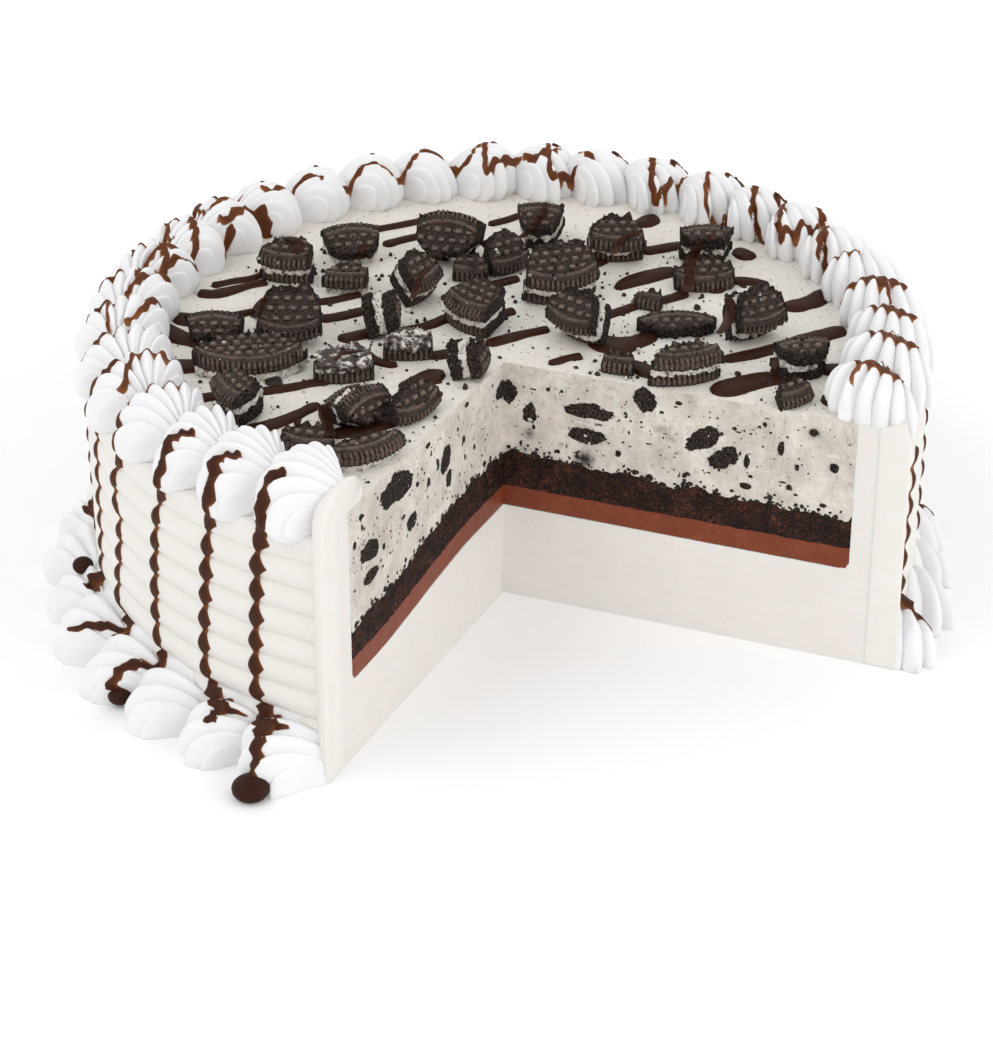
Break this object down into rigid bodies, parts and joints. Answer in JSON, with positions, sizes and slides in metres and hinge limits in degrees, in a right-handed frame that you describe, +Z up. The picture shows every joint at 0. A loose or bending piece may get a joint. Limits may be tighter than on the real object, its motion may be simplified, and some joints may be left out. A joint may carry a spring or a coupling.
{
  "type": "ice cream cake",
  "caption": "Round ice cream cake with a wide slice taken out, piped shell borders, combed side icing, chocolate sauce and broken sandwich biscuits on top.",
  "frame": {"origin": "on the cake's axis, at the level it stands on", "axes": "+Z up; the missing slice lies between the left cut, parallel to -Y, and the right cut, nearly along +X, so it opens towards +X and -Y"},
  "size_m": [0.2753, 0.2754, 0.0971],
  "materials": {
    "vanilla": "matt, frozen, smooth from the knife",
    "fudge": "satin, dense, cut smooth",
    "crumb": "matt, rough crumb",
    "speckled_cream": "matt ice cream with dark biscuit crumbs, and glossy dark brown sauce on top",
    "icing": "satin whipped icing with thin glossy brown sauce run over it",
    "biscuit": "matt dark biscuit with an off-white filling"
  },
  "bodies": {
    "root": {"vanilla_shell": "vanilla", "fudge_layer": "fudge", "crumb_layer": "crumb", "cookies_cream_layer": "speckled_cream", "side_icing": "icing", "top_border": "icing", "bottom_border": "icing", "biscuit_01": "biscuit", "biscuit_02": "biscuit", "biscuit_03": "biscuit", "biscuit_04": "biscuit", "biscuit_05": "biscuit", "biscuit_06": "biscuit", "biscuit_07": "biscuit", "biscuit_08": "biscuit", "biscuit_09": "biscuit", "biscuit_10": "biscuit", "biscuit_11": "biscuit", "biscuit_12": "biscuit", "biscuit_13": "biscuit", "biscuit_14": "biscuit", "biscuit_15": "biscuit", "biscuit_16": "biscuit", "biscuit_17": "biscuit", "biscuit_18": "biscuit", "biscuit_19": "biscuit", "biscuit_20": "biscuit", "biscuit_21": "biscuit", "biscuit_22": "biscuit", "biscuit_23": "biscuit", "biscuit_24": "biscuit", "biscuit_25": "biscuit", "biscuit_26": "biscuit", "biscuit_27": "biscuit", "biscuit_28": "biscuit", "biscuit_29": "biscuit", "biscuit_30": "biscuit", "biscuit_31": "biscuit", "biscuit_32": "biscuit", "biscuit_33": "biscuit"}
  },
  "joints": []
}
